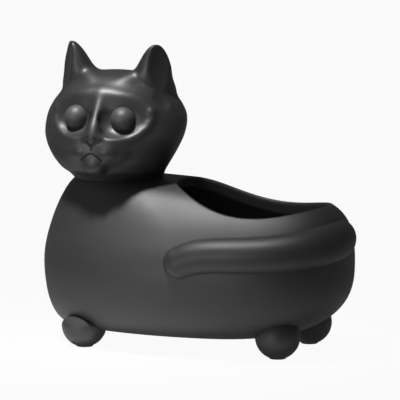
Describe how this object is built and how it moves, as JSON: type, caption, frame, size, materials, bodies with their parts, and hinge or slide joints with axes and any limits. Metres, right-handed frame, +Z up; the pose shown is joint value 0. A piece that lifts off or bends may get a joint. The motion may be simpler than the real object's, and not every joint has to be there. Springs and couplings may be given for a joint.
{
  "type": "animal shaped planter",
  "caption": "Cat-shaped desk planter: a loaf-shaped hollow bowl with an oval mouth in its back, a head turned to one side, a tail along the flank, ball feet and a drain plug.",
  "frame": {"origin": "on the ground under the middle of the planter's outline", "axes": "+Z up, +X from the chest to the rump, -Y the way that the face looks"},
  "size_m": [0.2295, 0.1394, 0.212],
  "materials": {
    "black_resin": "satin black, fine grain",
    "eye_resin": "satin black, smoother than the body",
    "dowel_resin": "raw casting",
    "black_rubber": "matt rubber"
  },
  "bodies": {
    "planter": {"bowl": "black_resin", "head": "black_resin", "tail": "black_resin", "neck_dowel": "dowel_resin", "left_eye": "eye_resin", "right_eye": "eye_resin", "front_left_foot": "black_resin", "front_right_foot": "black_resin", "rear_left_foot": "black_resin", "rear_right_foot": "black_resin", "front_left_pad": "black_rubber", "front_right_pad": "black_rubber", "rear_left_pad": "black_rubber", "rear_right_pad": "black_rubber"},
    "plug": {"drain_plug": "black_rubber"}
  },
  "joints": [
    {"name": "plug_pull", "type": "slide", "parent": "planter", "child": "plug", "axis": [0, 0, -1], "range_m": [0, 0.025]}
  ]
}
